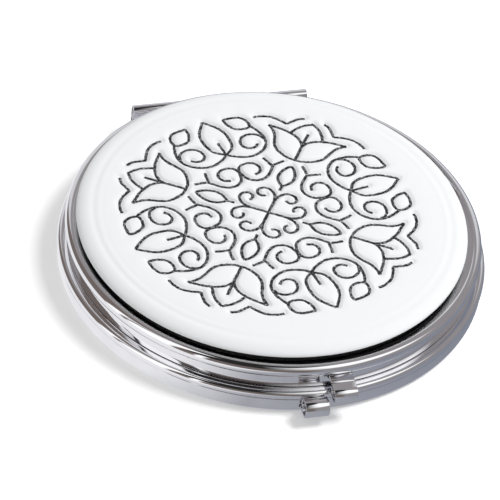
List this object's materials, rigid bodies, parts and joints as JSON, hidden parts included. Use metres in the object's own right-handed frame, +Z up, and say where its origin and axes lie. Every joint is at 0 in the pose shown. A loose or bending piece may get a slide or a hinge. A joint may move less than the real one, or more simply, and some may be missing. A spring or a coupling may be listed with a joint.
{
  "type": "pocket mirror",
  "caption": "Round hinged pocket mirror: polished metal case, padded white leather lid with an embossed foil ornament, a mirror in each half, link hinge and rolled thumb tabs",
  "frame": {"origin": "Centre of the flat underside of the base, on the round case's own axis.", "axes": "+Z points up out of the closed lid, +Y points to the hinge, +X points along the hinge pins, to the right when seen from the thumb tabs."},
  "size_m": [0.0636, 0.0671, 0.0102],
  "materials": {
    "chrome": "polished chrome plate",
    "pin_steel": "drawn steel wire",
    "leather": "smooth white leather with a fine grain",
    "foam": "soft white foam sheet",
    "board": "black board with a dull cut edge",
    "tape": "double-sided sheet adhesive",
    "mirror": "silvered glass"
  },
  "bodies": {
    "base": {"base_shell": "chrome", "base_mirror_backing": "foam", "base_mirror": "mirror", "base_mirror_ring": "chrome", "base_hinge_leaf": "chrome", "base_catch_tab": "chrome"},
    "link": {"hinge_link": "chrome", "hinge_pin_lower": "pin_steel", "hinge_pin_upper": "pin_steel"},
    "lid": {"lid_shell": "chrome", "lid_mirror_backing": "foam", "lid_mirror": "mirror", "lid_mirror_ring": "chrome", "lid_hinge_leaf": "chrome", "lid_catch_tab": "chrome", "pad_adhesive": "tape", "pad_board": "board", "pad_foam": "foam", "leather_cover": "leather"}
  },
  "joints": [
    {"name": "link_hinge", "type": "hinge", "parent": "base", "child": "link", "pos_m": [0, 0.0316, 0.003], "axis": [-1, 0, 0], "range_deg": [0, 75]},
    {"name": "lid_hinge", "type": "hinge", "parent": "link", "child": "lid", "pos_m": [0, 0.0316, 0.0049], "axis": [-1, 0, 0], "range_deg": [0, 75]}
  ]
}
